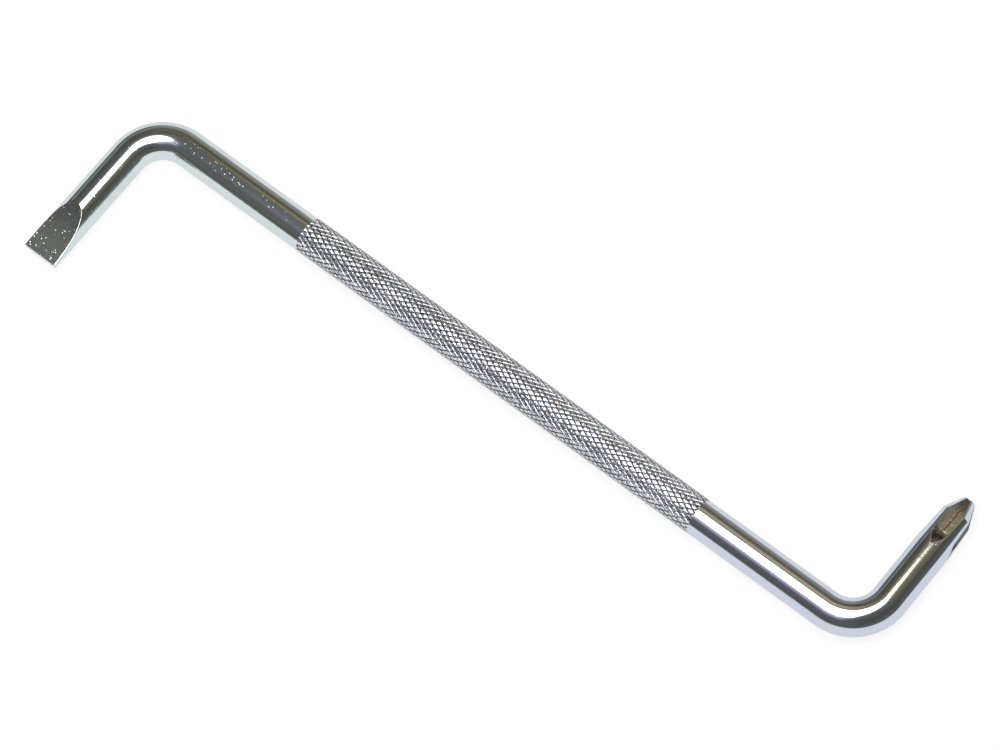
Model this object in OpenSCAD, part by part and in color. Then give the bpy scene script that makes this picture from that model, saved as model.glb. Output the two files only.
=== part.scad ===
// Offset screwdriver: one bright bar bent to a flat Z, with a slotted blade on one leg,
// a cross point on the other and a diamond-knurled grip between them.
// The tool lies flat on z = 0 with its shaft along X, the slotted leg toward -Y
// and the cross leg toward +Y. The origin is below the middle of its outline.

/* [Bar] */
// Diameter of the round bar
bar_d = 6; // [5:0.1:8]
// Length of the shaft between the axes of the two legs
shaft_l = 139; // [125:1:180]
// Radius of both bends, measured at the bar's axis
bend_r = 6.75; // [5:0.25:10]
// Plain bar that stays with each working tip, behind its flats or flutes
tip_root_l = 1; // [0.5:0.1:2]

/* [Slotted end] */
// Reach of the slotted leg, from the shaft's axis to the end of the blade
slotted_reach = 28.2; // [24:0.1:40]
// Length of the two ground flats
flat_l = 9.7; // [7:0.1:13]
// Width of the blade at its end
blade_w = 6.15; // [5.5:0.05:7]
// Thickness of the blade at its end
blade_t = 1; // [0.6:0.1:1.6]
// Radius of the hollow that the grinding wheel leaves in each flat
hollow_r = 32; // [18:1:80]

/* [Cross end] */
// Reach of the cross leg, from the shaft's axis to the blunt point
cross_reach = 26.9; // [23:0.1:38]
// Diameter of the blunt point
point_d = 2.2; // [2:0.1:2.8]
// Length of the steep taper behind the point
taper_l = 3.4; // [2.5:0.1:4.5]
// Diameter of the shoulder where the steep taper starts
shoulder_d = 5.6; // [4.8:0.1:6]
// Number of flutes, which is also the number of wings
flutes = 4; // [3:1:4]
// Angle between the two walls of a flute
flute_angle = 92; // [84:1:98]
// Diameter of the core between opposite flutes at the point
core_d = 1.3; // [1:0.1:1.6]
// Angle at which the bottom of a flute climbs away from the point
flute_climb = 5.75; // [3:0.25:7]
// Length of a flute's straight bottom, from the point
flute_l = 7.1; // [5:0.1:9]
// Radius of the cutter, which shows in a flute's run-out
cutter_r = 3.4; // [2.4:0.1:5]

/* [Grip] */
// Length of the knurled grip
grip_l = 77; // [50:1:90]
// Diameter over the peaks of the knurl
grip_d = 6.15; // [5.8:0.05:6.5]
// Diamonds in one row around the grip
knurl_starts = 21; // [16:1:24]
// Distance between two rows of diamonds in step along the bar
knurl_pitch = 1.6; // [1.4:0.05:2.2]
// Depth of the knurl's grooves
knurl_depth = 0.3; // [0.1:0.05:0.4]

/* [Colours] */
// Bright polished bar
bar_colour = [0.72, 0.73, 0.76]; // [0:0.01:1]
// Ground and plated working tips
tip_colour = [0.62, 0.63, 0.64]; // [0:0.01:1]
// Knurled grip
grip_colour = [0.80, 0.81, 0.84]; // [0:0.01:1]

/* [Hidden] */
$fn = 96;

bar_r = bar_d / 2;
// Height of the bar's axis: the tool lies on its grip, or on the bar where that is thicker
axis_z = max(grip_d, bar_d) / 2;
// The legs differ in reach, so the shaft lies a little off the middle of the outline
shaft_y = (slotted_reach - cross_reach) / 2;
// Each end is drawn with its leg toward +Y; the slotted one is then turned about Z
slotted_turn = 180;
cross_turn = 0;
// Cuts run on by this much past the faces they open
over = 1;

// Blade: the wheel's circle passes through the root of a flat and the blade's edge
blade_l = flat_l + tip_root_l;
blade_end_r = blade_w / 2;
flat_chord = [flat_l, blade_t / 2 - bar_r];
flat_half = norm(flat_chord) / 2;
flat_out = [-flat_chord.y, flat_chord.x] / norm(flat_chord);
wheel_up = sqrt(hollow_r * hollow_r - flat_half * flat_half);
wheel_at = [tip_root_l, bar_r] + flat_chord / 2 + flat_out * wheel_up;

// Flutes: the cutter leaves the bar where its rim climbs to the bar's surface
flute_root_r = core_d / 2 + flute_l * tan(flute_climb);
leave_cos = cos(flute_climb) - (bar_r - flute_root_r) / cutter_r;
runout_l = cutter_r * (sqrt(1 - leave_cos * leave_cos) - sin(flute_climb));
cross_tip_l = flute_l + runout_l + tip_root_l;
flute_deep = bar_r * 2;
// The cutter goes this much below the flute's straight bottom where it starts
plunge = 0.05;
// Hub of the cutter, as a share of its radius
cutter_hub = 0.2;

// Knurl: rows of peaks and groove crossings alternate around and along the grip
knurl_rows = 2 * round(grip_l / knurl_pitch);
knurl_cols = 2 * knurl_starts;
groove_r = grip_d / 2 - knurl_depth;

neck_l = (shaft_l - grip_l) / 2 - bend_r;
slotted_leg_l = slotted_reach - bend_r - blade_l;
cross_leg_l = cross_reach - bend_r - cross_tip_l;

// Puts the bar's axis at its height, with the shaft along X
module on_shaft() {
    translate([0, shaft_y, axis_z])
        children();
}

// Corner of one end: the shaft comes from -X and the leg goes off toward +Y
module at_corner(turn) {
    on_shaft()
        rotate([0, 0, turn])
            translate([shaft_l / 2, 0, 0])
                children();
}

// Stretch of a leg that starts a given way out from the shaft's axis
module along_leg(start) {
    translate([0, start, 0])
        rotate([-90, 0, 0])
            children();
}

// Plain shaft between the grip and a bend
module neck(turn) {
    at_corner(turn)
        translate([-bend_r - neck_l, 0, 0])
            rotate([0, 90, 0])
                cylinder(h = neck_l, r = bar_r);
}

// Quarter bend from the shaft into a leg
module bend(turn) {
    at_corner(turn)
        translate([-bend_r, bend_r, 0])
            rotate([0, 0, -90])
                rotate_extrude(angle = 90)
                    translate([bend_r, 0])
                        circle(r = bar_r);
}

// Straight plain stretch of a leg
module leg(turn, length) {
    at_corner(turn)
        along_leg(bend_r)
            cylinder(h = length, r = bar_r);
}

// Round blank of the blade, spread a little toward its end by the pressing
module blade_blank() {
    rotate_extrude()
        polygon([[0, 0], [bar_r, 0], [bar_r, tip_root_l], [blade_end_r, blade_l], [0, blade_l]]);
}

// Wheel that hollows one flat of the blade
module flat_cut() {
    translate([-blade_end_r - over, 0, 0])
        rotate([0, 90, 0])
            translate([-wheel_at.x, wheel_at.y, 0])
                cylinder(h = 2 * (blade_end_r + over), r = hollow_r, $fn = 360);
}

// Round blank of the cross tip: bar, slight neck-down to the shoulder, steep taper
module cross_blank() {
    rotate_extrude()
        polygon([
            [0, 0],
            [bar_r, 0],
            [bar_r, tip_root_l],
            [shoulder_d / 2, cross_tip_l - taper_l],
            [point_d / 2, cross_tip_l],
            [0, cross_tip_l]
        ]);
}

// Section of the vee that the cutter's rim leaves, from its bottom outward
module vee(depth) {
    half_w = depth * tan(flute_angle / 2);
    polygon([[0, 0], [depth, -half_w], [depth, half_w]]);
}

// Disc cutter with a vee rim
module cutter() {
    hub_r = cutter_r * cutter_hub;
    half_w = (cutter_r - hub_r) * tan(flute_angle / 2);
    rotate_extrude()
        polygon([[0, -half_w], [hub_r, -half_w], [cutter_r, 0], [hub_r, half_w], [0, half_w]]);
}

// One flute: a straight vee from the point, and the round run-out where the cutter plunged
module flute_cut() {
    translate([flute_root_r, 0, cross_tip_l - flute_l])
        rotate([0, -flute_climb, 0]) {
            linear_extrude(flute_l + over)
                vee(flute_deep);
            translate([cutter_r - plunge, 0, 0])
                rotate([90, 0, 0])
                    cutter();
        }
}

// Peaks stand where row and column are both even or both odd, groove crossings elsewhere
function is_peak(row, col) = (row + col) % 2 == 0;
function knurl_r(row, col) = is_peak(row, col) ? grip_d / 2 : groove_r;
function knurl_x(row) = grip_l * (row / knurl_rows - 1 / 2);
function knurl_angle(col) = 360 * col / knurl_cols - 90;
function knurl_at(row, col) = row * knurl_cols + col % knurl_cols;

module slotted_blade() {
    color(tip_colour)
        at_corner(slotted_turn)
            along_leg(slotted_reach - blade_l)
                difference() {
                    blade_blank();
                    for (side = [0, 180])
                        rotate([0, 0, side])
                            flat_cut();
                }
}

module slotted_leg() {
    color(bar_colour)
        leg(slotted_turn, slotted_leg_l);
}

module slotted_bend() {
    color(bar_colour)
        bend(slotted_turn);
}

module slotted_neck() {
    color(bar_colour)
        neck(slotted_turn);
}

module knurled_grip() {
    skin = [
        for (row = [0 : knurl_rows], col = [0 : knurl_cols - 1])
            let (r = knurl_r(row, col), angle = knurl_angle(col))
                [knurl_x(row), r * cos(angle), r * sin(angle)]
    ];
    start = len(skin);
    ends = [[knurl_x(0), 0, 0], [knurl_x(knurl_rows), 0, 0]];
    flanks = [
        for (row = [0 : knurl_rows - 1], col = [0 : knurl_cols - 1], lower = [true, false])
            let (
                a = knurl_at(row, col),
                b = knurl_at(row, col + 1),
                c = knurl_at(row + 1, col + 1),
                d = knurl_at(row + 1, col)
            )
                is_peak(row, col) ? (lower ? [a, b, d] : [b, c, d]) : (lower ? [a, b, c] : [a, c, d])
    ];
    caps = [
        for (col = [0 : knurl_cols - 1], first = [true, false])
            first
                ? [start, knurl_at(0, col + 1), knurl_at(0, col)]
                : [start + 1, knurl_at(knurl_rows, col), knurl_at(knurl_rows, col + 1)]
    ];
    color(grip_colour)
        on_shaft()
            polyhedron(concat(skin, ends), concat(flanks, caps));
}

module cross_neck() {
    color(bar_colour)
        neck(cross_turn);
}

module cross_bend() {
    color(bar_colour)
        bend(cross_turn);
}

module cross_leg() {
    color(bar_colour)
        leg(cross_turn, cross_leg_l);
}

module cross_tip() {
    color(tip_colour)
        at_corner(cross_turn)
            along_leg(cross_reach - cross_tip_l)
                difference() {
                    rotate([0, 0, 90 + 180 / flutes])
                        cross_blank();
                    for (k = [0 : flutes - 1])
                        rotate([0, 0, 90 + 360 * k / flutes])
                            flute_cut();
                }
}

slotted_blade();
slotted_leg();
slotted_bend();
slotted_neck();
knurled_grip();
cross_neck();
cross_bend();
cross_leg();
cross_tip();
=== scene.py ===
import math

import bpy
from bpy.props import FloatProperty, FloatVectorProperty, IntProperty, PointerProperty
from mathutils import Matrix, Vector, noise


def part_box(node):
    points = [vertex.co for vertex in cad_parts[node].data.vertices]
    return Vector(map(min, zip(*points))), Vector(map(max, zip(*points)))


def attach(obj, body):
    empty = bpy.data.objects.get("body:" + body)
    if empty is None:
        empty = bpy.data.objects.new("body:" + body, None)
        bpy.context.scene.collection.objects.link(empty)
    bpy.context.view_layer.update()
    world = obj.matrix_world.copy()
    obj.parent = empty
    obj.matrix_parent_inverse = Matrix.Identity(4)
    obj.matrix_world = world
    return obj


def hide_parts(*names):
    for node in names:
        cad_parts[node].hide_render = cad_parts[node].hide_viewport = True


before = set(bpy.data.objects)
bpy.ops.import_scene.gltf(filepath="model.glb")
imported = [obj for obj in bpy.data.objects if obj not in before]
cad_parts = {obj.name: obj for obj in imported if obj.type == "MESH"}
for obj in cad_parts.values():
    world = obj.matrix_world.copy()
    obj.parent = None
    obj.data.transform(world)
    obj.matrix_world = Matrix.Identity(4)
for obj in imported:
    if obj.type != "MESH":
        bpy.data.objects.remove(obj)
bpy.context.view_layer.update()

bl_info = {
    "name": "Offset Screwdriver",
    "version": (1, 0, 0),
    "blender": (4, 5, 0),
    "location": "View3D > Sidebar > Offset Driver",
    "description": "Models a chromed offset screwdriver over its packed solids and sets its studio",
    "category": "Mesh",
}

X, Y, Z = Vector((1, 0, 0)), Vector((0, 1, 0)), Vector((0, 0, 1))

# Sizes taken from the packed solids
LEG_LOW, LEG_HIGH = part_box("cross_leg")
BEND_LOW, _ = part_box("cross_bend")
NECK_LOW, NECK_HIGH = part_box("cross_neck")
GRIP_LOW, GRIP_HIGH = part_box("knurled_grip")
BLADE_LOW, BLADE_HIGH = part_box("slotted_blade")
SLOT_LEG_LOW, SLOT_LEG_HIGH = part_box("slotted_leg")
TIP_LOW, TIP_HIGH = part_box("cross_tip")

BAR_R = (LEG_HIGH.x - LEG_LOW.x) / 2
AXIS_Z = (LEG_LOW.z + LEG_HIGH.z) / 2
SHAFT_Y = (NECK_LOW.y + NECK_HIGH.y) / 2
CROSS_X = (LEG_LOW.x + LEG_HIGH.x) / 2
SLOT_X = (SLOT_LEG_LOW.x + SLOT_LEG_HIGH.x) / 2
BEND_R = CROSS_X - BEND_LOW.x

# Distance between the rings of a tube before they take their stations
RING_STEP = 0.001
# Rounding of the ends of the blade and of the cross point
END_SOFT = 0.00005
# Half angle over which an outline gathers the points that a flat or flute takes further on
SEAM = math.radians(2.5)
# Where pits start to gather along the shaft, and where they thin out again
PITS_START = (-0.071, -0.065)
PITS_STOP = (-0.055, -0.038)


class BarSizes(bpy.types.PropertyGroup):
    """Plain round bar of the necks, bends and legs"""

    radius: FloatProperty(
        name="Bar radius", description="Radius of the plated bar",
        default=BAR_R, min=0.001, precision=5, unit="LENGTH")
    bend_radius: FloatProperty(
        name="Bend radius", description="Radius of both bends at the bar's axis",
        default=BEND_R, min=0.003, precision=5, unit="LENGTH")
    sides: IntProperty(
        name="Sides", description="Sides of a round section", default=160, min=32, max=320)
    bend_steps: IntProperty(
        name="Bend steps", description="Steps around a quarter bend", default=80, min=12, max=200)


class GripSizes(bpy.types.PropertyGroup):
    """Rolled diamond knurl of the grip"""

    radius: FloatProperty(
        name="Crest radius", description="Radius over the crests of the diamonds",
        default=(GRIP_HIGH.z - GRIP_LOW.z) / 2, min=0.001, precision=5, unit="LENGTH")
    starts: IntProperty(
        name="Diamonds around", description="Diamonds in one row around the grip",
        default=21, min=8, max=40)
    rows: IntProperty(
        name="Rows", description="Diamonds in one line along the grip", default=48, min=8, max=80)
    depth: FloatProperty(
        name="Groove depth", description="Depth of the grooves below the crests",
        default=0.00014, min=0.00005, precision=6, unit="LENGTH")
    flank: FloatProperty(
        name="Flank share", description="Share of a diamond's half width that its flanks take",
        default=0.3, min=0.2, max=0.9, subtype="FACTOR")
    crown: FloatProperty(
        name="Crown share", description="Share of the depth in the domed top of a diamond",
        default=0.6, min=0.0, max=0.9, subtype="FACTOR")
    unevenness: FloatProperty(
        name="Unevenness", description="Share by which the rolled diamonds differ in height",
        default=0.22, min=0.0, max=0.3)


class BladeSizes(bpy.types.PropertyGroup):
    """Hollow-ground slotted blade"""

    root: FloatProperty(
        name="Plain root", description="Plain bar that stays behind the flats",
        default=0.001, min=0.0002, precision=5, unit="LENGTH")
    end_radius: FloatProperty(
        name="Half width", description="Half the width of the blade at its end",
        default=(BLADE_HIGH.x - BLADE_LOW.x) / 2, min=0.001, precision=5, unit="LENGTH")
    thickness: FloatProperty(
        name="End thickness", description="Thickness of the blade at its end",
        default=0.001, min=0.0003, precision=5, unit="LENGTH")
    hollow: FloatProperty(
        name="Hollow radius", description="Radius of the hollow in each flat",
        default=0.032, min=0.01, precision=4, unit="LENGTH")
    rim: FloatProperty(
        name="Rim rounding", description="Radius of the polished rim of a flat",
        default=0.00014, min=0.00002, precision=6, unit="LENGTH")


class CrossSizes(bpy.types.PropertyGroup):
    """Cross point with four milled flutes"""

    root: FloatProperty(
        name="Plain root", description="Plain bar that stays behind the flutes",
        default=0.001, min=0.0002, precision=5, unit="LENGTH")
    point_radius: FloatProperty(
        name="Point radius", description="Radius of the blunt point",
        default=0.0011, min=0.0005, precision=5, unit="LENGTH")
    taper: FloatProperty(
        name="Steep taper", description="Length of the steep taper behind the point",
        default=0.0034, min=0.001, precision=5, unit="LENGTH")
    shoulder: FloatProperty(
        name="Shoulder radius", description="Radius where the steep taper starts",
        default=0.0028, min=0.001, precision=5, unit="LENGTH")
    flute: FloatProperty(
        name="Flute length", description="Length of a flute's straight bottom",
        default=0.0071, min=0.002, precision=5, unit="LENGTH")
    core: FloatProperty(
        name="Core radius", description="Radius of the core at the point",
        default=0.00065, min=0.0002, precision=6, unit="LENGTH")
    vee: FloatProperty(
        name="Flute angle", description="Angle between the two walls of a flute",
        default=math.radians(92), subtype="ANGLE")
    climb: FloatProperty(
        name="Flute climb", description="Angle at which a flute's bottom climbs from the point",
        default=math.radians(5.75), subtype="ANGLE")
    cutter: FloatProperty(
        name="Cutter radius", description="Radius of the cutter that leaves the run-out",
        default=0.0034, min=0.001, precision=5, unit="LENGTH")
    plunge: FloatProperty(
        name="Cutter plunge", description="Depth of the cutter below the flute's bottom",
        default=0.00005, min=0.0, precision=6, unit="LENGTH")
    edge: FloatProperty(
        name="Wing edge", description="Rounding along the edges of the wings",
        default=0.00009, min=0.00001, precision=6, unit="LENGTH")


class FinishColours(bpy.types.PropertyGroup):
    """Chrome plate over the steel"""

    plate: FloatVectorProperty(
        name="Bright plate", description="Colour of the polished chrome",
        default=(0.625, 0.705, 0.72), min=0, max=1, subtype="COLOR")
    # Painted shade: the plate is darker and bluer toward the cross end
    plate_far_shaded: FloatVectorProperty(
        name="Bright plate, cross end", description="Colour of the polished chrome at the cross end",
        default=(0.575, 0.62, 0.72), min=0, max=1, subtype="COLOR")
    plate_worn: FloatVectorProperty(
        name="Handled plate", description="Colour of chrome that has been handled",
        default=(0.57, 0.62, 0.66), min=0, max=1, subtype="COLOR")
    # Groove, flank and crest colours are painted light on the knurl: painted shade in the grooves and on
    # the flanks, painted highlight on the crests
    groove: FloatVectorProperty(
        name="Groove", description="Colour at the bottom of the knurl's grooves",
        default=(0.18, 0.18, 0.21), min=0, max=1, subtype="COLOR")
    flank: FloatVectorProperty(
        name="Flank", description="Colour of the knurl's flanks",
        default=(0.42, 0.44, 0.49), min=0, max=1, subtype="COLOR")
    crest_highlight: FloatVectorProperty(
        name="Crest", description="Colour of the knurl's highlighted crests",
        default=(0.80, 0.79, 0.84), min=0, max=1, subtype="COLOR")
    ground: FloatVectorProperty(
        name="Ground flat", description="Colour of plate over the ground flats",
        default=(0.80, 0.88, 0.80), min=0, max=1, subtype="COLOR")
    # The flute walls are lit and shaded copies of one finish: the first wall's warm colour is a painted
    # highlight, the second wall's grey is painted shade, and the dark colour along the flute bottom is a
    # painted shade line
    straw: FloatVectorProperty(
        name="First flute wall", description="Colour of the straw-tinted wall of each flute",
        default=(0.92, 0.86, 0.72), min=0, max=1, subtype="COLOR")
    wall_shade: FloatVectorProperty(
        name="Second flute wall", description="Colour of the shaded wall of each flute",
        default=(0.44, 0.46, 0.47), min=0, max=1, subtype="COLOR")
    root: FloatVectorProperty(
        name="Flute bottom", description="Dark colour along the bottom of a flute",
        default=(0.15, 0.14, 0.12), min=0, max=1, subtype="COLOR")
    # Dark colour: random dark tone and the darker run-outs and point of the flutes; on the ground flats
    # it is painted shade toward their root
    dark_tone_and_shade: FloatVectorProperty(
        name="Darkened point", description="Dark colour of the run-outs and of the flutes at the point",
        default=(0.33, 0.32, 0.31), min=0, max=1, subtype="COLOR")


class StudioSettings(bpy.types.PropertyGroup):
    """Camera, floor and light"""

    azimuth: FloatProperty(
        name="Camera azimuth", description="Camera's turn about the tool, from its front",
        default=math.radians(46.4953), subtype="ANGLE")
    elevation: FloatProperty(
        name="Camera elevation", description="Camera's height above the floor as an angle",
        default=math.radians(67.3275), subtype="ANGLE")
    roll: FloatProperty(
        name="Camera roll", description="Camera's turn about its own line of sight",
        default=math.radians(-8.3669), subtype="ANGLE")
    distance: FloatProperty(
        name="Camera distance", description="Distance from the camera to the tool",
        default=0.852845, min=0.1, precision=4, unit="LENGTH")
    lens: FloatProperty(
        name="Lens", description="Focal length of the camera", default=200, min=20, subtype="NONE")
    box_size: FloatVectorProperty(
        name="Soft box size", description="Width and length of the soft box overhead",
        size=2, default=(0.366, 0.478), precision=3, unit="LENGTH")
    box_corner: FloatProperty(
        name="Soft box corner", description="Radius of the soft box's corners",
        default=0.136, min=0.01, precision=3, unit="LENGTH")
    box_place: FloatVectorProperty(
        name="Soft box place", description="Middle of the soft box",
        size=3, default=(0.012, -0.051, 0.6), precision=3, subtype="TRANSLATION")
    box_power: FloatProperty(
        name="Soft box power", description="Power of the soft box", default=2.0, min=0, unit="POWER")


def deselect():
    if bpy.context.mode != "OBJECT":
        bpy.ops.object.mode_set(mode="OBJECT")
    bpy.ops.object.select_all(action="DESELECT")


def edit_all():
    bpy.ops.object.mode_set(mode="EDIT")
    bpy.ops.mesh.select_mode(type="VERT")
    bpy.ops.mesh.select_all(action="SELECT")


def leave_edit():
    bpy.ops.object.mode_set(mode="OBJECT")


def set_transform():
    bpy.ops.object.transform_apply(location=True, rotation=True, scale=True)


def disc(name, sides, radius, centre, along):
    """Filled circle, square to the way that the bar runs"""
    deselect()
    turn = Z.rotation_difference(along.normalized()).to_euler()
    bpy.ops.mesh.primitive_circle_add(
        vertices=sides, radius=radius, fill_type="NGON", location=centre, rotation=turn)
    piece = bpy.context.active_object
    piece.name = name
    piece.data.name = name
    set_transform()
    return piece


def straight(name, bar, start, end):
    """Straight stretch of bar"""
    piece = disc(name, bar.sides, bar.radius, start, end - start)
    edit_all()
    bpy.ops.mesh.extrude_region_move(TRANSFORM_OT_translate={"value": (end - start)[:]})
    leave_edit()
    return piece


def quarter_bend(name, bar, start, along, centre, turn):
    """Quarter bend: a disc at the start, spun about the bend's centre"""
    piece = disc(name, bar.sides, bar.radius, start, along)
    edit_all()
    bpy.ops.mesh.spin(
        steps=bar.bend_steps, angle=turn, center=centre[:], axis=(0, 0, 1), use_normal_flip=False)
    leave_edit()
    return piece


def tube(name, sides, rings, start, along):
    """Tube of plain rings, evenly apart, ready for its outlines"""
    step = along * RING_STEP
    piece = disc(name, sides, RING_STEP, start, along)
    edit_all()
    for _ in range(rings - 1):
        bpy.ops.mesh.extrude_region_move(TRANSFORM_OT_translate={"value": step[:]})
    leave_edit()
    return piece


def give_outlines(piece, start, along, stations, outlines):
    """Moves each ring of a tube to its station and onto its outline"""
    across = Z.cross(along)
    sides = len(outlines[0])
    for vertex in piece.data.vertices:
        place = vertex.co - start
        ring = round(place.dot(along) / RING_STEP)
        angle = math.atan2(place.dot(Z), place.dot(across))
        u, v = outlines[ring][round(angle * sides / math.tau) % sides]
        vertex.co = start + along * stations[ring] + across * u + Z * v
    piece.data.update()


def four_quarters(quarter):
    """Full outline from the quarter that runs from the side to the top"""
    back = quarter[::-1]
    return (
        quarter[:-1]
        + [(-u, v) for u, v in back][:-1]
        + [(-u, -v) for u, v in quarter][:-1]
        + [(u, -v) for u, v in back][:-1]
    )


def finish(piece, node, finishes, smooth=30):
    """Closes the skin, faces it outward and hands the piece over to the frame"""
    deselect()
    bpy.context.view_layer.objects.active = piece
    piece.select_set(True)
    edit_all()
    bpy.ops.mesh.remove_doubles(threshold=1e-8)
    bpy.ops.mesh.select_all(action="SELECT")
    bpy.ops.mesh.normals_make_consistent(inside=False)
    bpy.ops.mesh.select_all(action="DESELECT")
    bpy.ops.mesh.select_non_manifold()
    leave_edit()
    if any(vertex.select for vertex in piece.data.vertices):
        raise RuntimeError(f"{piece.name} isn't closed")
    bpy.ops.object.shade_smooth_by_angle(angle=math.radians(smooth))
    low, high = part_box(node)
    for axis in range(3):
        places = [vertex.co[axis] for vertex in piece.data.vertices]
        if abs(min(places) - low[axis]) > 1e-4 or abs(max(places) - high[axis]) > 1e-4:
            raise RuntimeError(f"{piece.name} isn't where its solid is")
    for finish_material in finishes:
        piece.data.materials.append(finish_material)
    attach(piece, "root")
    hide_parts(node)


def add(tree, kind, inputs=None, **settings):
    """Adds a shader node, sets it, and gives or links its inputs"""
    made = tree.nodes.new(kind)
    for key, value in settings.items():
        setattr(made, key, value)
    for key, value in (inputs or {}).items():
        if isinstance(value, bpy.types.NodeSocket):
            tree.links.new(value, made.inputs[key])
        else:
            made.inputs[key].default_value = value
    return made


def scaled(tree, value, low, high, out_low, out_high, soft=True):
    kind = "SMOOTHSTEP" if soft else "LINEAR"
    return add(tree, "ShaderNodeMapRange", {
        "Value": value, "From Min": low, "From Max": high,
        "To Min": out_low, "To Max": out_high}, interpolation_type=kind).outputs["Result"]


def reckon(tree, operation, *values):
    """Sum on plain numbers"""
    return add(tree, "ShaderNodeMath", dict(enumerate(values)), operation=operation).outputs[0]


def reckon_vector(tree, operation, *values, result=0):
    """Sum on vectors"""
    made = add(tree, "ShaderNodeVectorMath", dict(enumerate(values)), operation=operation)
    return made.outputs[result]


def times(tree, one, other):
    return reckon(tree, "MULTIPLY", one, other)


def axes(tree, coords):
    """Outputs X, Y and Z of a vector"""
    return add(tree, "ShaderNodeSeparateXYZ", {0: coords}).outputs


def mixed(tree, share, one, other, blend="MIX"):
    """Colour mix; colours are given as three numbers or as a socket"""
    made = tree.nodes.new("ShaderNodeMix")
    made.data_type = "RGBA"
    made.blend_type = blend
    for index, value in ((0, share), (6, one), (7, other)):
        if isinstance(value, bpy.types.NodeSocket):
            tree.links.new(value, made.inputs[index])
        else:
            made.inputs[index].default_value = value if index == 0 else (*value, 1)
    return made.outputs[2]


def pattern(tree, coords, scale, detail=2.0, rough=0.5, stretch=None):
    if stretch:
        coords = add(tree, "ShaderNodeMapping", {"Vector": coords, "Scale": stretch}).outputs[0]
    return add(tree, "ShaderNodeTexNoise", {
        "Vector": coords, "Scale": scale, "Detail": detail, "Roughness": rough}).outputs[0]


def specks(tree, coords, scale, share, size):
    """Scattered round pits: 1 in the middle of a pit, 0 between pits"""
    cells = add(tree, "ShaderNodeTexVoronoi", {"Vector": coords, "Scale": scale})
    chosen = add(tree, "ShaderNodeSeparateColor", {"Color": cells.outputs["Color"]}).outputs["Red"]
    kept = reckon(tree, "LESS_THAN", chosen, share)
    dome = scaled(tree, cells.outputs["Distance"], 0.0, size, 1.0, 0.0)
    return times(tree, kept, dome)


def bump(tree, height, depth, under=None):
    inputs = {"Height": height, "Distance": depth, "Strength": 1.0}
    if under is not None:
        inputs["Normal"] = under
    return add(tree, "ShaderNodeBump", inputs).outputs[0]


def new_metal(name):
    material = bpy.data.materials.new(name)
    material.use_nodes = True
    tree = material.node_tree
    shader = tree.nodes["Principled BSDF"]
    shader.inputs["Metallic"].default_value = 1.0
    # Edge tint below white darkens the chrome at grazing angles: a painted dark rim line along the
    # silhouettes, as painted shade
    shader.inputs["Specular Tint"].default_value = (0.85, 0.86, 0.88, 1)
    coords = add(tree, "ShaderNodeTexCoord").outputs["Object"]
    return material, tree, shader, coords


def dress(tree, shader, colour, roughness, normal):
    tree.links.new(colour, shader.inputs["Base Color"])
    tree.links.new(roughness, shader.inputs["Roughness"])
    tree.links.new(normal, shader.inputs["Normal"])


def bright_plate(colours):
    """Polished chrome of the bar: darker and bluer toward the cross end as painted shade, handling marks,
    a fine peel and scattered pits
    """
    name = "bright_plate"
    if name in bpy.data.materials:
        return bpy.data.materials[name]
    material, tree, shader, coords = new_metal(name)
    handled = scaled(tree, pattern(tree, coords, 130, 4, 0.6), 0.48, 0.72, 0.0, 0.6)
    side = axes(tree, coords)["X"]
    # Painted shade: darker and bluer from the slotted end to the cross end
    colour = mixed(tree, scaled(tree, side, SLOT_X, CROSS_X, 0, 1), colours.plate, colours.plate_far_shaded)
    colour = mixed(tree, handled, colour, colours.plate_worn)
    haze = scaled(tree, pattern(tree, coords, 700, 5, 0.65), 0.35, 0.75, 0.03, 0.08)
    ripple = bump(tree, pattern(tree, coords, 420, 2), 0.000003)
    peel = bump(tree, pattern(tree, coords, 5200, 2, 0.5), 0.000003, under=ripple)
    rise = scaled(tree, side, *PITS_START, 0.15, 1.0)
    fall = scaled(tree, side, *PITS_STOP, 1.0, 0.06)
    worn = scaled(tree, pattern(tree, coords, 420, 3, 0.6), 0.40, 0.62, 0.10, 0.36)
    worn = times(tree, worn, times(tree, rise, fall))
    pits = bump(tree, specks(tree, coords, 3300, worn, 0.34), 0.000016, under=peel)
    dress(tree, shader, colour, haze, pits)
    return material


def ground_plate(colours):
    """Plate over the ground flats: painted lighter toward the edge as a painted reflection and darker
    toward the root as painted shade, wheel marks, a dull grain and pits
    """
    name = "ground_plate"
    if name in bpy.data.materials:
        return bpy.data.materials[name]
    material, tree, shader, coords = new_metal(name)
    tone = scaled(tree, pattern(tree, coords, 520, 4, 0.6), 0.40, 0.70, 0.0, 0.3)
    place = axes(tree, coords)
    # Painted shade: the flats darken toward their root, away from the blade's end
    root = scaled(tree, place["Y"], BLADE_LOW.y + 0.001, BLADE_LOW.y + 0.009, 0.0, 0.7)
    colour = mixed(tree, root, colours.ground, colours.dark_tone_and_shade)
    colour = mixed(tree, tone, colour, colours.plate_worn)
    haze = scaled(tree, pattern(tree, coords, 1100, 4, 0.7), 0.35, 0.75, 0.05, 0.15)
    marks = bump(tree, pattern(tree, coords, 1.0, 3, 0.6, (5200, 260, 5200)), 0.000002)
    grain = bump(tree, pattern(tree, coords, 4500, 3, 0.6), 0.000011, under=marks)
    left = scaled(tree, place["X"], BLADE_LOW.x + 0.0003, BLADE_LOW.x + 0.0025, 0.24, 0.0)
    worn = scaled(tree, pattern(tree, coords, 420, 3, 0.6), 0.45, 0.65, 0.04, 0.36)
    worn = reckon(tree, "ADD", worn, left)
    pits = bump(tree, specks(tree, coords, 3600, worn, 0.37), 0.000018, under=grain)
    dress(tree, shader, colour, haze, pits)
    return material


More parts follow.
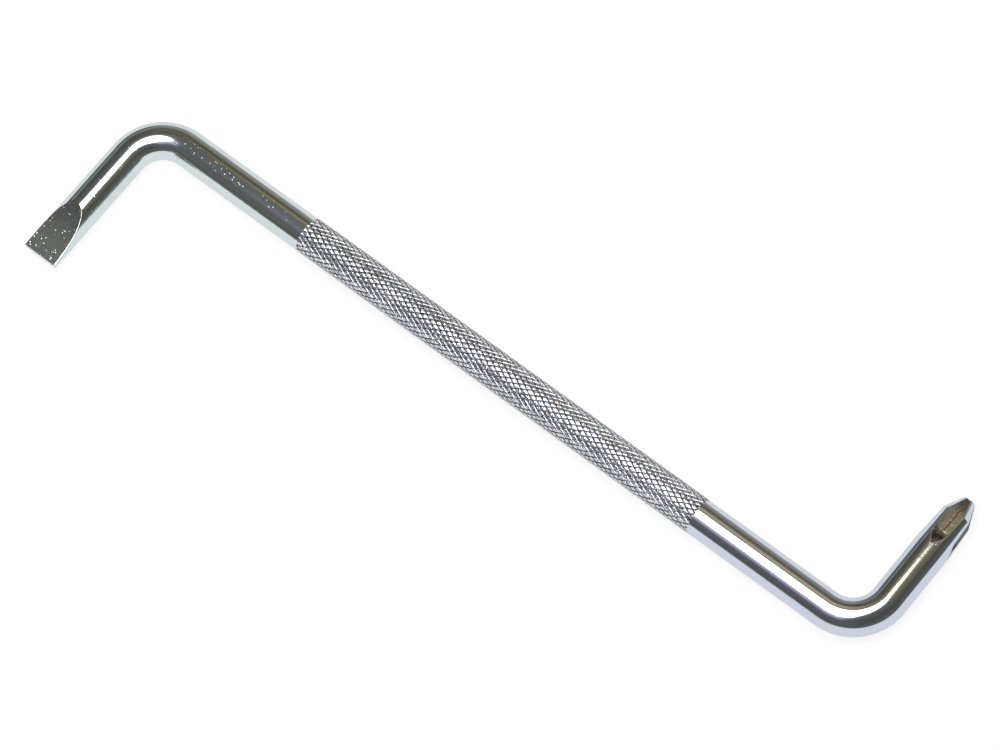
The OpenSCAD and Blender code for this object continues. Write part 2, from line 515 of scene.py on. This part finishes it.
def milled_plate(name, wall, colours, cross):
    """Thin plate in the milled flutes: satin walls in their given colour (painted highlight on the first
    wall, painted shade on the second and along the bottom), cutter lines, dark run-outs and point
    """
    if name in bpy.data.materials:
        return bpy.data.materials[name]
    material, tree, shader, coords = new_metal(name)
    along = axes(tree, coords)["Y"]
    deep = TIP_HIGH.y - cross.flute
    inside = scaled(tree, along, deep - 0.0002, deep + 0.0007, 0.0, 1.0)
    fore = scaled(tree, along, TIP_HIGH.y - 0.0034, TIP_HIGH.y - 0.0012, 1.0, 0.12)
    tone = scaled(tree, pattern(tree, coords, 900, 4, 0.6), 0.35, 0.70, 0.0, 0.3)
    colour = mixed(tree, tone, wall, colours.dark_tone_and_shade)
    colour = mixed(tree, times(tree, inside, fore), colours.dark_tone_and_shade, colour)
    haze = scaled(tree, inside, 0.0, 1.0, 0.10, 0.24, soft=False)
    lines = bump(tree, pattern(tree, coords, 1.0, 3, 0.6, (1200, 5200, 1200)), 0.000012)
    dress(tree, shader, colour, haze, lines)
    return material


def knurl_plate(colours, grip):
    """Plate over the knurl: painted highlight on the crests, painted shade down the flanks and in the
    grooves, fine grain
    """
    name = "knurl_plate"
    if name in bpy.data.materials:
        return bpy.data.materials[name]
    material, tree, shader, coords = new_metal(name)
    out = add(tree, "ShaderNodeMapping", {
        "Vector": coords, "Location": (0, -SHAFT_Y, -AXIS_Z)}).outputs[0]
    out = reckon_vector(tree, "MULTIPLY", out, (0, 1, 1))
    reach = reckon_vector(tree, "LENGTH", out, result="Value")
    low = grip.radius - grip.depth * (1 + grip.unevenness)
    rise = scaled(tree, reach, low, low + 0.35 * grip.depth, 0.0, 1.0)
    crest_highlight = scaled(tree, reach, low + 0.7 * grip.depth, low + grip.depth, 0.0, 1.0)
    # Painted shade darker down toward the grooves, painted highlight brighter on the crests
    colour = mixed(tree, rise, colours.groove, colours.flank)
    colour = mixed(tree, crest_highlight, colour, colours.crest_highlight)
    grime = scaled(tree, pattern(tree, coords, 260, 4, 0.6), 0.45, 0.75, 0.0, 0.35)
    colour = mixed(tree, grime, colour, colours.plate_worn)
    haze = scaled(tree, rise, 0.0, 1.0, 0.25, 0.10, soft=False)
    grain = bump(tree, pattern(tree, coords, 4400, 2, 0.6), 0.00007)
    dress(tree, shader, colour, haze, grain)
    return material


class OFFSETDRIVER_OT_studio(bpy.types.Operator):
    """Sets the floor, the room, the soft box, its card and the camera"""

    bl_idname = "offset_driver.studio"
    bl_label = "Studio"

    # Brightness of the soft box in reflections, and its warmer upper edge
    LIT, LIT_WARM = (6.0, 6.0, 6.0), (6.0, 5.3, 3.4)
    # Half the width over which the soft box's edge fades on the card, and the reach of its glow
    BOX_FADE, HALO_REACH = 0.018, 0.03
    # Middle, half size and reach of two dim patches on the card: toward the front, and the tan one behind
    FRONT_PATCH = (0, -0.36, 0), (0.19, 0.09, 0), 0.09
    TAN_PATCH = (0, 0.395, 0), (2.0, 0.07, 0), 0.10
    # Point that the camera looks at, along the shaft, and its small shift to the right and up
    AIM_X, AIM_RIGHT, AIM_UP = -0.000085, -0.0000653, -0.00019

    def execute(self, context):
        studio = context.scene.driver_studio
        context.scene.view_settings.view_transform = "Standard"
        self.lay_floor()
        self.paint_room(context.scene)
        self.hang_lamp(studio)
        self.hang_card(studio)
        self.set_camera(context.scene, studio)
        return {"FINISHED"}

    def lay_floor(self):
        deselect()
        bpy.ops.mesh.primitive_plane_add(size=30, location=(0, 0, 0))
        floor = bpy.context.active_object
        floor.name = "floor"
        material = bpy.data.materials.new("white_floor")
        material.use_nodes = True
        tree = material.node_tree
        tree.nodes.clear()
        path = add(tree, "ShaderNodeLightPath")
        seen = reckon(tree, "MAXIMUM", path.outputs["Is Camera Ray"], path.outputs["Is Glossy Ray"])
        seen = reckon(tree, "MAXIMUM", seen, path.outputs["Is Transmission Ray"])
        glow = add(tree, "ShaderNodeEmission", {
            "Color": (1, 1, 1, 1), "Strength": times(tree, seen, 0.80)})
        plain = add(tree, "ShaderNodeBsdfDiffuse", {"Color": (0.34, 0.34, 0.34, 1)})
        top = add(tree, "ShaderNodeAddShader", {0: glow.outputs[0], 1: plain.outputs[0]})
        add(tree, "ShaderNodeOutputMaterial", {"Surface": top.outputs[0]})
        floor.data.materials.append(material)

    def paint_room(self, scene):
        world = bpy.data.worlds.new("room")
        scene.world = world
        world.use_nodes = True
        tree = world.node_tree
        tree.nodes.clear()
        way = add(tree, "ShaderNodeTexCoord").outputs["Generated"]
        height = axes(tree, way)["Z"]
        level = reckon_vector(tree, "MULTIPLY", way, (1, 1, 0))
        level = reckon_vector(tree, "NORMALIZE", level)
        sides = axes(tree, level)
        climb = reckon(tree, "ARCSINE", height)
        sway = scaled(tree, pattern(tree, way, 3.0, 2, 0.5), 0.3, 0.7, -0.045, 0.045, soft=False)
        climb = reckon(tree, "ADD", climb, sway)
        climb = times(tree, climb, 2 / math.pi)
        front = self.bands(tree, climb, (
            (9, (0.175, 0.18, 0.16)), (17, (0.118, 0.122, 0.10)), (25, (0.142, 0.138, 0.12)),
            (32, (0.16, 0.15, 0.16)), (40, (0.16, 0.145, 0.185)), (50, (0.13, 0.122, 0.142))))
        right = self.bands(tree, climb, (
            (10, (0.147, 0.158, 0.155)), (18, (0.13, 0.135, 0.125)), (26, (0.12, 0.12, 0.10)),
            (33, (0.11, 0.105, 0.083)), (41, (0.115, 0.106, 0.085)), (50, (0.12, 0.11, 0.092))))
        left = self.bands(tree, climb, (
            (8, (0.12, 0.125, 0.118)), (15, (0.20, 0.205, 0.19)), (24, (0.28, 0.285, 0.25)),
            (32, (0.13, 0.13, 0.11)), (40, (0.092, 0.088, 0.078)), (47, (0.11, 0.10, 0.095)),
            (56, (0.155, 0.135, 0.14))))
        behind = self.bands(tree, climb, (
            (9, (0.42, 0.40, 0.38)), (17, (0.34, 0.32, 0.29)), (25, (0.31, 0.28, 0.235)),
            (32, (0.17, 0.148, 0.105)), (40, (0.24, 0.195, 0.13)), (48, (0.36, 0.29, 0.19))))
        room = mixed(tree, scaled(tree, sides["X"], 0.5, 0.8, 0, 1), front, right)
        room = mixed(tree, scaled(tree, sides["X"], -0.5, -0.8, 0, 1), room, left)
        room = mixed(tree, scaled(tree, sides["Y"], 0.5, 0.8, 0, 1), room, behind)
        room = mixed(tree, scaled(tree, height, 0.02, 0.075, 1, 0), room, (1, 1, 1))
        back = add(tree, "ShaderNodeBackground", {"Color": room, "Strength": 1.0})
        add(tree, "ShaderNodeOutputWorld", {"Surface": back.outputs[0]})

    def bands(self, tree, climb, stops):
        """Colours of the room from the floor upward, by height in degrees"""
        ramp = add(tree, "ShaderNodeValToRGB", {"Fac": climb})
        ramp.color_ramp.interpolation = "EASE"
        points = ramp.color_ramp.elements
        for k, (degrees, colour) in enumerate(stops):
            point = points[k] if k < 2 else points.new(degrees / 90)
            point.position = degrees / 90
            point.color = (*colour, 1)
        return ramp.outputs["Color"]

    def hang_card(self, studio):
        """Card overhead that only reflections show: the soft box, its glow and two dim patches"""
        deselect()
        place = Vector(studio.box_place) + Z * 0.02
        bpy.ops.mesh.primitive_plane_add(size=1, location=(0, 0.03, place.z))
        card = bpy.context.active_object
        card.name = "card"
        card.scale = (1.1, 1.4, 1)
        set_transform()
        card.visible_camera = False
        card.visible_diffuse = False
        card.visible_shadow = False
        material = bpy.data.materials.new("card_glow")
        material.use_nodes = True
        tree = material.node_tree
        tree.nodes.clear()
        coords = add(tree, "ShaderNodeTexCoord").outputs["Object"]
        split = axes(tree, coords)
        slant = reckon_vector(tree, "DOT_PRODUCT", coords, (-0.03, 1, 0), result="Value")
        slanted = add(tree, "ShaderNodeCombineXYZ", {"X": split["X"], "Y": slant}).outputs[0]
        corner = studio.box_corner
        half = Vector((studio.box_size[0] / 2 - corner, studio.box_size[1] / 2 - corner, 0))
        away = self.outside(tree, slanted, (place.x, place.y, 0), half, (1, 1, 1))
        box = scaled(tree, away, corner + self.BOX_FADE, corner - self.BOX_FADE, 0, 1)
        rim = reckon(tree, "SUBTRACT", away, corner)
        rim = reckon(tree, "MAXIMUM", rim, 0.0)
        halo = self.falloff(tree, rim, self.HALO_REACH)
        middle, half, reach = self.FRONT_PATCH
        under = self.falloff(tree, self.outside(tree, coords, middle, half, (2, 1, 1)), reach)
        middle, half, reach = self.TAN_PATCH
        band = self.falloff(tree, self.outside(tree, coords, middle, half, (1, 1, 1)), reach)
        band = times(tree, band, scaled(tree, split["X"], -0.30, -0.10, 0.55, 1.0))
        band = times(tree, band, scaled(tree, split["X"], -0.34, -0.26, 0.25, 1.0))
        band = times(tree, band, scaled(tree, split["X"], 0.25, 0.40, 1.0, 0.5))
        warm = scaled(tree, split["Y"], 0.150, 0.184, 0, 1)
        upper = scaled(tree, split["Y"], 0.165, 0.195, 0, 1)
        violet = times(tree, scaled(tree, split["Y"], 0.12, 0.15, 0, 1),
                       scaled(tree, split["X"], -0.12, -0.20, 0, 1))
        shade = mixed(tree, violet, (0.125, 0.13, 0.12), (0.125, 0.118, 0.14))
        shade = mixed(tree, upper, shade, (0.105, 0.098, 0.068))
        tint = mixed(tree, upper, (0.62, 0.60, 0.64), (0.72, 0.66, 0.46))
        shade = mixed(tree, halo, shade, tint)
        shade = mixed(tree, under, shade, (0.47, 0.43, 0.58), "ADD")
        shade = mixed(tree, band, shade, (0.50, 0.39, 0.25), "ADD")
        lit = mixed(tree, warm, self.LIT, self.LIT_WARM)
        shade = mixed(tree, box, shade, lit, "ADD")
        glow = add(tree, "ShaderNodeEmission", {"Color": shade, "Strength": 1.0})
        add(tree, "ShaderNodeOutputMaterial", {"Surface": glow.outputs[0]})
        card.data.materials.append(material)

    def outside(self, tree, coords, centre, half, weigh):
        """Distance outside a rectangle of the card"""
        away = reckon_vector(tree, "SUBTRACT", coords, centre)
        away = reckon_vector(tree, "MULTIPLY", away, (1, 1, 0))
        away = reckon_vector(tree, "ABSOLUTE", away)
        away = reckon_vector(tree, "SUBTRACT", away, half)
        away = reckon_vector(tree, "MAXIMUM", away, (0, 0, 0))
        away = reckon_vector(tree, "MULTIPLY", away, weigh)
        return reckon_vector(tree, "LENGTH", away, result="Value")

    def falloff(self, tree, distance, reach):
        """1 at no distance, dying away over the reach"""
        return reckon(tree, "POWER", math.e, times(tree, distance, -1 / reach))

    def hang_lamp(self, studio):
        deselect()
        bpy.ops.object.light_add(type="AREA", location=studio.box_place)
        lamp = bpy.context.active_object
        lamp.name = "soft_box"
        lamp.data.shape = "RECTANGLE"
        lamp.data.size, lamp.data.size_y = studio.box_size
        lamp.data.energy = studio.box_power
        lamp.visible_camera = False
        lamp.visible_glossy = False

    def set_camera(self, scene, studio):
        a, e, r = studio.azimuth, studio.elevation, studio.roll
        back = Vector((math.sin(a) * math.cos(e), -math.cos(a) * math.cos(e), math.sin(e)))
        right = Vector((math.cos(a), math.sin(a), 0))
        up = back.cross(right)
        right, up = math.cos(r) * right + math.sin(r) * up, math.cos(r) * up - math.sin(r) * right
        middle = Vector((self.AIM_X, SHAFT_Y, AXIS_Z))
        place = middle + back * studio.distance + right * self.AIM_RIGHT + up * self.AIM_UP
        lens = bpy.data.cameras.new("photo_camera")
        lens.lens = studio.lens
        lens.sensor_width = 36
        camera = bpy.data.objects.new("photo_camera", lens)
        camera.matrix_world = Matrix((right, up, back)).transposed().to_4x4()
        camera.location = place
        scene.collection.objects.link(camera)
        scene.camera = camera


class OFFSETDRIVER_OT_necks(bpy.types.Operator):
    """Models the plain shaft on either side of the grip"""

    bl_idname = "offset_driver.necks"
    bl_label = "Necks"

    def execute(self, context):
        plate = bright_plate(context.scene.driver_finish)
        for node in ("slotted_neck", "cross_neck"):
            low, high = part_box(node)
            piece = straight(
                "bright_" + node, context.scene.driver_bar,
                Vector((low.x, SHAFT_Y, AXIS_Z)), Vector((high.x, SHAFT_Y, AXIS_Z)))
            finish(piece, node, [plate])
        return {"FINISHED"}


class OFFSETDRIVER_OT_bends(bpy.types.Operator):
    """Models the quarter bend at either end of the shaft"""

    bl_idname = "offset_driver.bends"
    bl_label = "Bends"

    def execute(self, context):
        bar = context.scene.driver_bar
        plate = bright_plate(context.scene.driver_finish)
        for node, corner, way in (("slotted_bend", SLOT_X, -1), ("cross_bend", CROSS_X, 1)):
            start = Vector((corner - way * bar.bend_radius, SHAFT_Y, AXIS_Z))
            centre = start + Y * (way * bar.bend_radius)
            piece = quarter_bend("bright_" + node, bar, start, X * way, centre, -math.pi / 2)
            finish(piece, node, [plate])
        return {"FINISHED"}


class OFFSETDRIVER_OT_legs(bpy.types.Operator):
    """Models the straight stretch of bar behind each working tip"""

    bl_idname = "offset_driver.legs"
    bl_label = "Legs"

    def execute(self, context):
        plate = bright_plate(context.scene.driver_finish)
        for node, corner in (("slotted_leg", SLOT_X), ("cross_leg", CROSS_X)):
            low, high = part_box(node)
            piece = straight(
                "bright_" + node, context.scene.driver_bar,
                Vector((corner, low.y, AXIS_Z)), Vector((corner, high.y, AXIS_Z)))
            finish(piece, node, [plate])
        return {"FINISHED"}


class OFFSETDRIVER_OT_blade(bpy.types.Operator):
    """Models the slotted blade with its two hollow-ground flats"""

    bl_idname = "offset_driver.blade"
    bl_label = "Slotted blade"

    # Points of a quarter outline on the bar, on the rim and on the flat
    SIDE, RIM, FLAT = 16, 8, 14
    # A face is ground where it looks up or down at least this much
    GROUND_TILT = 0.85

    def execute(self, context):
        bar, blade = context.scene.driver_bar, context.scene.driver_blade
        length = BLADE_HIGH.y - BLADE_LOW.y
        start = Vector((SLOT_X, BLADE_HIGH.y, AXIS_Z))
        flat = length - blade.root
        stations = [0.0, 0.5 * blade.root, 0.96 * blade.root, blade.root]
        stations += [blade.root + (flat - END_SOFT) * (k / 64) ** 1.6 for k in range(1, 65)]
        stations += [length - 0.3 * END_SOFT, length]
        outlines = []
        for station in stations:
            share = max(0.0, (station - blade.root) / flat)
            radius = bar.radius + (blade.end_radius - bar.radius) * share
            height = self.flat_height(blade, bar, flat, station)
            trim = max(0.0, station - (length - END_SOFT))
            outlines.append(four_quarters(self.quarter(blade, radius - trim, height - trim)))
        piece = tube("bright_slotted_blade", len(outlines[0]), len(stations), start, -Y)
        give_outlines(piece, start, -Y, stations, outlines)
        colours = context.scene.driver_finish
        finish(piece, "slotted_blade", [bright_plate(colours), ground_plate(colours)])
        for face in piece.data.polygons:
            ground = abs(face.normal.z) > self.GROUND_TILT and face.center.y < BLADE_HIGH.y - blade.root
            face.material_index = 1 if ground else 0
        return {"FINISHED"}

    def flat_height(self, blade, bar, flat, station):
        """Height of a flat above the bar's axis: a circle from the flat's root to the end"""
        drop = blade.thickness / 2 - bar.radius
        chord = math.hypot(flat, drop)
        rise = math.sqrt(blade.hollow ** 2 - chord ** 2 / 4)
        middle = blade.root + flat / 2 - drop / chord * rise
        top = bar.radius + drop / 2 + flat / chord * rise
        return top - math.sqrt(blade.hollow ** 2 - (station - middle) ** 2)

    def quarter(self, blade, radius, height):
        """Quarter outline: bar, rounded rim and flat, or plain bar where no flat is cut"""
        if height > radius - 1e-9:
            turns = [(math.pi / 2 - SEAM) * k / self.SIDE for k in range(self.SIDE)]
            more = self.RIM + self.FLAT
            turns += [math.pi / 2 - SEAM * (1 - k / more) for k in range(more + 1)]
            return [(radius * math.cos(t), radius * math.sin(t)) for t in turns]
        rim = blade.rim
        hub_u = math.sqrt((radius - rim) ** 2 - (height - rim) ** 2)
        hub_v = height - rim
        first = math.atan2(hub_v, hub_u)
        ease = [math.sin(math.pi / 2 * k / self.SIDE) for k in range(self.SIDE)]
        points = [(radius * math.cos(first * t), radius * math.sin(first * t)) for t in ease]
        for k in range(self.RIM):
            t = first + (math.pi / 2 - first) * k / self.RIM
            points.append((hub_u + rim * math.cos(t), hub_v + rim * math.sin(t)))
        for k in range(self.FLAT + 1):
            points.append((hub_u * (1 - (k / self.FLAT) ** 1.6), height))
        points[-1] = (0.0, height)
        return points


class OFFSETDRIVER_OT_cross_tip(bpy.types.Operator):
    """Models the cross point with its four flutes and their run-outs"""

    bl_idname = "offset_driver.cross_tip"
    bl_label = "Cross point"

    # Points of an eighth of the outline in the valley, on the wall, on the edge and on the wing
    VALLEY, WALL, EDGE, WING = 4, 12, 6, 12
    # Width of the rounded valley, half the width of its dark line of painted shade and the least depth of
    # a cut face
    VALLEY_WIDE, LINE_HALF, CUT_DEEP = 0.00014, 0.00007, 0.00008
    # Half the length over which the shoulder is rounded
    KNEE_SOFT = 0.00005

    def execute(self, context):
        bar, cross = context.scene.driver_bar, context.scene.driver_cross
        length = TIP_HIGH.y - TIP_LOW.y
        start = Vector((CROSS_X, TIP_LOW.y, AXIS_Z))
        deep = length - cross.flute
        knee = length - cross.taper
        fore = knee - self.KNEE_SOFT
        aft = knee + self.KNEE_SOFT
        stations = [0.0, 0.5 * cross.root, 0.97 * cross.root, cross.root]
        stations += [cross.root + (deep - cross.root) * (k / 30) ** 1.8 for k in range(1, 31)]
        stations += [deep + (fore - deep) * k / 24 for k in range(1, 25)]
        stations += [knee, aft]
        stations += [aft + (length - END_SOFT - aft) * k / 24 for k in range(1, 25)]
        stations += [length - 0.3 * END_SOFT, length]
        outlines = []
        for station in stations:
            radius = self.blank(bar, cross, knee, station)
            trim = max(0.0, station - (length - END_SOFT))
            outlines.append(four_quarters(self.quarter(cross, deep, radius, station, trim)))
        piece = tube("bright_cross_tip", len(outlines[0]), len(stations), start, Y)
        give_outlines(piece, start, Y, stations, outlines)
        colours = context.scene.driver_finish
        # Flute wall colours are painted light: painted highlight on the first wall, painted shade on the
        # second wall and along the bottom
        walls = (("first", colours.straw), ("second", colours.wall_shade), ("bottom", colours.root))
        milled = [milled_plate("milled_" + side, colour, colours, cross) for side, colour in walls]
        finish(piece, "cross_tip", [bright_plate(colours), *milled], 35)
        for face in piece.data.polygons:
            out = face.center - Vector((CROSS_X, face.center.y, AXIS_Z))
            reach = self.blank(bar, cross, knee, face.center.y - start.y)
            cut = out.length < reach - self.CUT_DEEP and abs(face.normal.y) < 0.95
            face.material_index = self.side(out) if cut else 0
        return {"FINISHED"}

    def side(self, out):
        """1 or 2 for the two walls of a flute (painted highlight and painted shade), 3 along its bottom
        (painted shade line)
        """
        turn = (math.atan2(out.z, out.x) + math.pi / 4) % (math.pi / 2) - math.pi / 4
        if abs(out.length * math.sin(turn)) < self.LINE_HALF:
            return 3
        return 1 if turn > 0 else 2

    def blank(self, bar, cross, knee, station):
        """Radius of the turned blank"""
        if station <= cross.root:
            return bar.radius
        if station <= knee:
            share = (station - cross.root) / (knee - cross.root)
            return bar.radius + (cross.shoulder - bar.radius) * share
        share = (station - knee) / cross.taper
        return cross.shoulder + (cross.point_radius - cross.shoulder) * share

    def cut(self, cross, ahead, reach):
        """Half the width that the flute has at a place along the tip and out from its axis"""
        slope = math.tan(cross.vee / 2)
        bottom = cross.core + cross.flute * math.tan(cross.climb)
        along = ahead * math.cos(cross.climb) - (reach - bottom) * math.sin(cross.climb)
        above = ahead * math.sin(cross.climb) + (reach - bottom) * math.cos(cross.climb)
        rim = cross.cutter - math.hypot(along, above - cross.cutter + cross.plunge)
        return slope * (max(above, rim) if along >= 0 else rim)

    def quarter(self, cross, deep, radius, station, trim):
        """Quarter outline, an eighth and its mirror image"""
        ahead = station - deep
        radius -= trim

        def wide(reach):
            return self.cut(cross, ahead, reach + trim)

        if wide(radius) <= 1e-9:
            eighth = self.plain(radius)
        else:
            eighth = self.fluted(cross, radius, wide)
        return eighth[:-1] + [(v, u) for u, v in eighth[::-1]]

    def plain(self, radius):
        """Eighth of the outline where no flute is cut"""
        more = self.VALLEY + self.WALL + self.EDGE
        turns = [SEAM * k / more for k in range(more)]
        turns += [SEAM + (math.pi / 4 - SEAM) * k / self.WING for k in range(self.WING + 1)]
        return [(radius * math.cos(t), radius * math.sin(t)) for t in turns]

    def fluted(self, cross, radius, wide):
        """Eighth of the outline from a flute's bottom to the middle of a wing"""
        bottom = self.halve(wide, 0.0, radius)
        top = self.halve(lambda reach: math.hypot(reach, max(0.0, wide(reach))) - radius, bottom, radius)

        def wall(share):
            reach = bottom + (top - bottom) * share
            return Vector((reach, max(0.0, wide(reach))))

        corner = wall(1.0)
        run = (corner - wall(0.0)).length
        turn = math.atan2(corner.y, corner.x)
        land = radius * (math.pi / 4 - turn)
        root_share = min(self.VALLEY_WIDE, 0.35 * run) / run
        edge = min(cross.edge, 0.3 * run, 0.4 * land)
        edge_share = 1 - edge / run
        low = wall(root_share)
        points = []
        for k in range(self.VALLEY):
            t = 0.5 + 0.5 * k / self.VALLEY
            points.append(self.curve(Vector((low.x, -low.y)), Vector((bottom, 0)), low, t))
        for k in range(self.WALL):
            points.append(wall(root_share + (edge_share - root_share) * k / self.WALL))
        after = turn + edge / radius
        far = Vector((radius * math.cos(after), radius * math.sin(after)))
        for k in range(self.EDGE):
            points.append(self.curve(wall(edge_share), corner, far, k / self.EDGE))
        for k in range(self.WING + 1):
            t = after + (math.pi / 4 - after) * k / self.WING
            points.append(Vector((radius * math.cos(t), radius * math.sin(t))))
        points[0].y = 0.0
        return [(p.x, p.y) for p in points]

    def curve(self, one, two, three, t):
        """Place on a smooth curve from the first point to the third, drawn toward the second"""
        return one * (1 - t) ** 2 + two * (2 * t * (1 - t)) + three * t ** 2

    def halve(self, rule, low, high):
        """Place between low and high where the rule turns from negative to positive"""
        for _ in range(60):
            middle = (low + high) / 2
            if rule(middle) > 0:
                high = middle
            else:
                low = middle
        return (low + high) / 2


class OFFSETDRIVER_OT_grip(bpy.types.Operator):
    """Models one diamond of the knurl, repeats it and rolls the sheet onto the bar"""

    bl_idname = "offset_driver.grip"
    bl_label = "Knurled grip"

    def execute(self, context):
        grip = context.scene.driver_grip
        length = GRIP_HIGH.x - GRIP_LOW.x
        pitch = length / grip.rows
        around = math.tau * grip.radius / grip.starts
        piece = self.diamond(grip, pitch, around)
        self.repeat(piece, (pitch / 2, around / 2, 0), 2)
        self.repeat(piece, (pitch, 0, 0), grip.rows + 1)
        self.repeat(piece, (0, around, 0), grip.starts)
        edit_all()
        for place, way in ((GRIP_LOW.x, -1), (GRIP_HIGH.x, 1)):
            bpy.ops.mesh.select_all(action="SELECT")
            bpy.ops.mesh.bisect(
                plane_co=(place, 0, 0), plane_no=(way, 0, 0), clear_outer=True, threshold=1e-8)
        leave_edit()
        self.roll(piece, grip)
        edit_all()
        bpy.ops.mesh.remove_doubles(threshold=1e-6)
        bpy.ops.mesh.select_all(action="SELECT")
        bpy.ops.mesh.fill_holes(sides=0)
        leave_edit()
        plate = knurl_plate(context.scene.driver_finish, grip)
        finish(piece, "knurled_grip", [plate], 46)
        return {"FINISHED"}

    def diamond(self, grip, pitch, around):
        """One diamond, flat: narrow steep flanks up from the grooves and a domed top"""
        deselect()
        bpy.ops.mesh.primitive_plane_add(size=2, location=(0, 0, 0))
        piece = bpy.context.active_object
        piece.name = piece.data.name = "bright_grip"
        corners = ((-pitch / 2, 0), (0, -around / 2), (pitch / 2, 0), (0, around / 2))
        for vertex in piece.data.vertices:
            turn = math.atan2(vertex.co.y, vertex.co.x) + math.pi
            u, v = corners[round(turn / (math.pi / 2) - 0.5) % 4]
            vertex.co = (u + GRIP_LOW.x, v, 0)
        half = pitch * around / 2 / math.hypot(pitch, around)
        edit_all()
        bpy.ops.mesh.select_mode(type="FACE")
        bpy.ops.mesh.select_all(action="SELECT")
        rings = [grip.flank * k for k in (0, 0.5, 0.88, 1, 1.12)] + [(grip.flank + 1) / 2]
        rises = [self.rise(grip, share) for share in rings]
        for k in range(1, len(rings)):
            bpy.ops.mesh.inset(
                thickness=half * (rings[k] - rings[k - 1]), depth=rises[k] - rises[k - 1])
        bpy.ops.mesh.poke(offset=grip.depth - rises[-1])
        leave_edit()
        return piece

    def rise(self, grip, share):
        """Height of a diamond at a share of its half width in from the groove"""
        shoulder = min(1.0, share / grip.flank)
        dome = 1 - (1 - share) ** 2
        return grip.depth * ((1 - grip.crown) * shoulder + grip.crown * dome)

    def repeat(self, piece, step, count):
        rows = piece.modifiers.new("rows", "ARRAY")
        rows.count = count
        rows.use_relative_offset = False
        rows.use_constant_offset = True
        rows.constant_offset_displace = step
        rows.use_merge_vertices = True
        rows.merge_threshold = 2e-7
        bpy.ops.object.modifier_apply(modifier="rows")

    def roll(self, piece, grip):
        """Rolls the flat sheet onto the bar, with the small unevenness of a rolled knurl"""
        low = grip.radius - grip.depth * (1 + grip.unevenness)
        for vertex in piece.data.vertices:
            along, across, rise = vertex.co
            turn = across / grip.radius - math.pi / 2
            place = Vector((along, grip.radius * math.cos(turn), grip.radius * math.sin(turn)))
            uneven = 1.1 * noise.noise(place * 1300) + 0.7 * noise.noise(place * 3600)
            reach = low + rise * (1 + grip.unevenness * max(-1.0, min(1.0, uneven)))
            vertex.co = (along, SHAFT_Y + reach * math.cos(turn), AXIS_Z + reach * math.sin(turn))
        piece.data.update()


class OFFSETDRIVER_PT_panel(bpy.types.Panel):
    """Lists the pieces of the offset screwdriver and their sizes"""

    bl_idname = "OFFSETDRIVER_PT_panel"
    bl_label = "Offset Driver"
    bl_space_type = "VIEW_3D"
    bl_region_type = "UI"
    bl_category = "Offset Driver"

    def draw(self, context):
        for operator in OPERATORS:
            self.layout.operator(operator.bl_idname)
        for name in GROUPS:
            group = getattr(context.scene, name)
            box = self.layout.box()
            box.label(text=type(group).__doc__)
            for key in type(group).__annotations__:
                box.prop(group, key)


GROUPS = {
    "driver_bar": BarSizes,
    "driver_grip": GripSizes,
    "driver_blade": BladeSizes,
    "driver_cross": CrossSizes,
    "driver_finish": FinishColours,
    "driver_studio": StudioSettings,
}
OPERATORS = (
    OFFSETDRIVER_OT_studio,
    OFFSETDRIVER_OT_necks,
    OFFSETDRIVER_OT_bends,
    OFFSETDRIVER_OT_legs,
    OFFSETDRIVER_OT_blade,
    OFFSETDRIVER_OT_cross_tip,
    OFFSETDRIVER_OT_grip,
)


def register():
    for name, group in GROUPS.items():
        bpy.utils.register_class(group)
        setattr(bpy.types.Scene, name, PointerProperty(type=group))
    for cls in (*OPERATORS, OFFSETDRIVER_PT_panel):
        bpy.utils.register_class(cls)


def unregister():
    for cls in (OFFSETDRIVER_PT_panel, *reversed(OPERATORS)):
        bpy.utils.unregister_class(cls)
    for name, group in reversed(GROUPS.items()):
        delattr(bpy.types.Scene, name)
        bpy.utils.unregister_class(group)


def main():
    register()
    bpy.ops.offset_driver.studio()
    bpy.ops.offset_driver.necks()
    bpy.ops.offset_driver.bends()
    bpy.ops.offset_driver.legs()
    bpy.ops.offset_driver.blade()
    bpy.ops.offset_driver.cross_tip()
    bpy.ops.offset_driver.grip()


if __name__ == "__main__":
    main()
